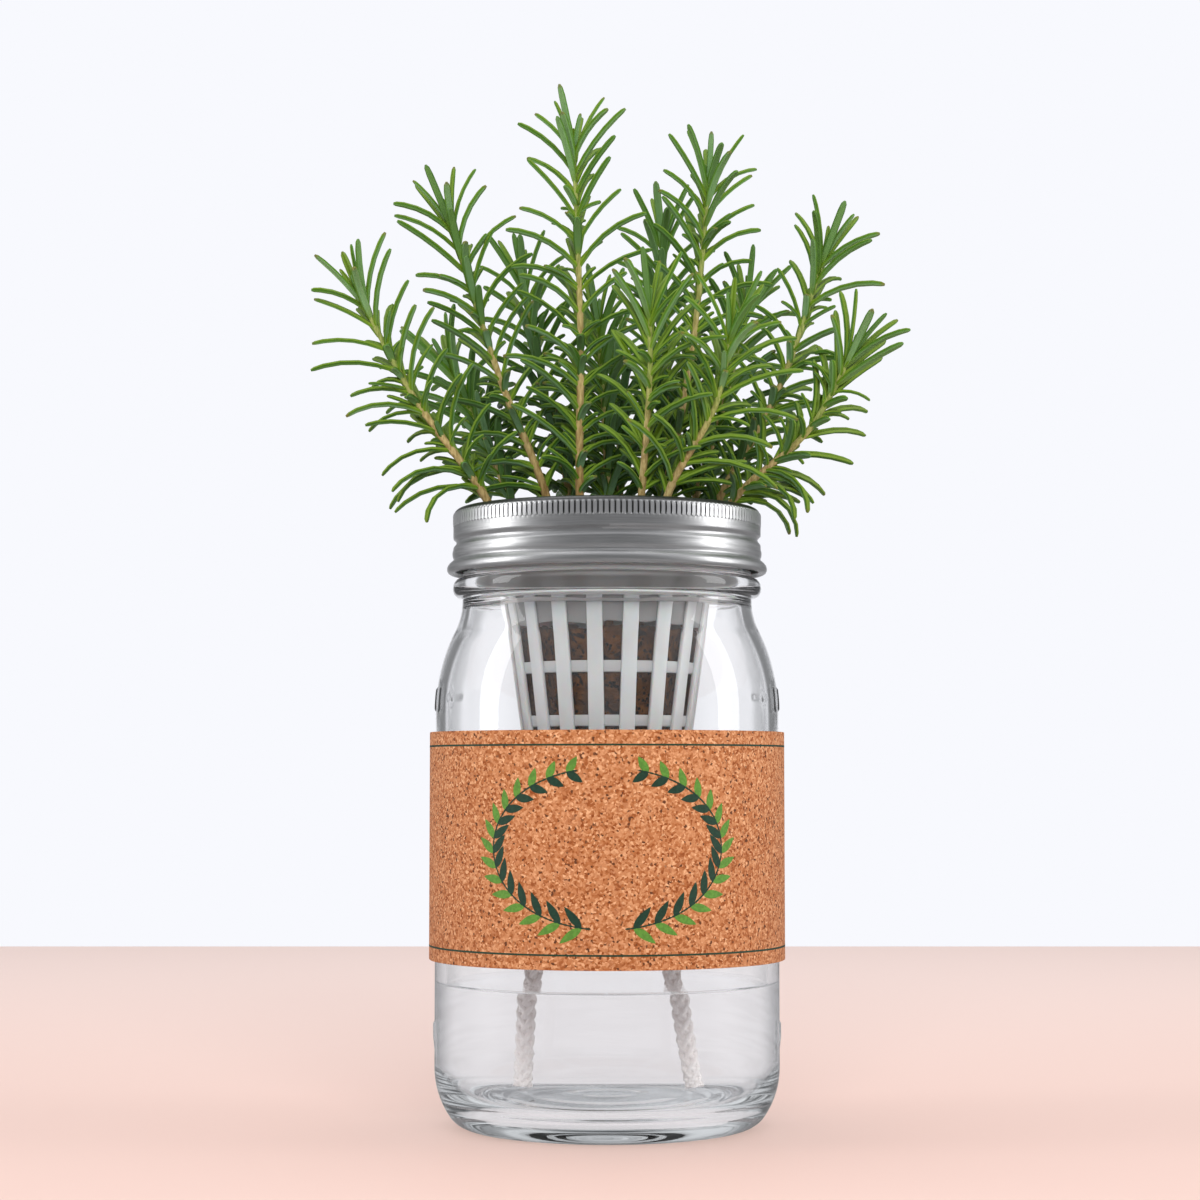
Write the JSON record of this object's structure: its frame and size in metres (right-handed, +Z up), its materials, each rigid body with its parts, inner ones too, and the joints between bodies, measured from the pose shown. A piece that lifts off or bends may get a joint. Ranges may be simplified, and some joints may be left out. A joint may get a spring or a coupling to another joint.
{
  "type": "hydroponic jar planter",
  "caption": "Glass preserving jar with a net cup hung in its neck under a screw band, holding a rosemary plug fed by two wicks, and a cork sleeve round the body.",
  "frame": {"origin": "centre of the jar's foot ring, on the surface that it stands on", "axes": "+Z up along the jar's axis, -Y towards the front of the planter, +X to the right"},
  "size_m": [0.1741, 0.1172, 0.3016],
  "materials": {
    "glass": "clear",
    "tinplate": "satin",
    "cup_plastic": "translucent",
    "coir": "matte",
    "cotton": "matte",
    "water": "clear",
    "cork": "matte",
    "rosemary": "satin"
  },
  "bodies": {
    "jar": {"glass_jar": "glass", "water": "water"},
    "cup": {"net_cup": "cup_plastic", "wick_left": "cotton", "wick_right": "cotton"},
    "band": {"screw_band": "tinplate"},
    "plug": {"growing_plug": "coir", "sprig_far_left": "rosemary", "sprig_left": "rosemary", "sprig_tall": "rosemary", "sprig_tall_right": "rosemary", "sprig_right": "rosemary", "sprig_far_right": "rosemary", "sprig_front": "rosemary", "sprig_front_right": "rosemary", "sprig_back_left": "rosemary", "sprig_back_right": "rosemary", "sprig_behind_right": "rosemary", "sprig_behind_left": "rosemary", "sprig_middle": "rosemary", "sprig_rear": "rosemary"},
    "sleeve": {"cork_sleeve": "cork"}
  },
  "joints": [
    {"name": "head_lift", "type": "slide", "parent": "jar", "child": "cup", "axis": [0, 0, 1], "range_m": [0, 0.0047]},
    {"name": "band_turn", "type": "hinge", "parent": "cup", "child": "band", "pos_m": [0, 0, 0.165], "axis": [0, 0, 1], "range_deg": [0, 330]},
    {"name": "plug_lift", "type": "slide", "parent": "cup", "child": "plug", "axis": [0, 0, 1], "range_m": [0, 0.08]},
    {"name": "sleeve_slide", "type": "slide", "parent": "jar", "child": "sleeve", "axis": [0, 0, 1], "range_m": [-0.045, 0.045]}
  ],
  "couplings": [
    {"joint": "head_lift", "follows": "band_turn", "m_per_rad": 0.0008085}
  ]
}
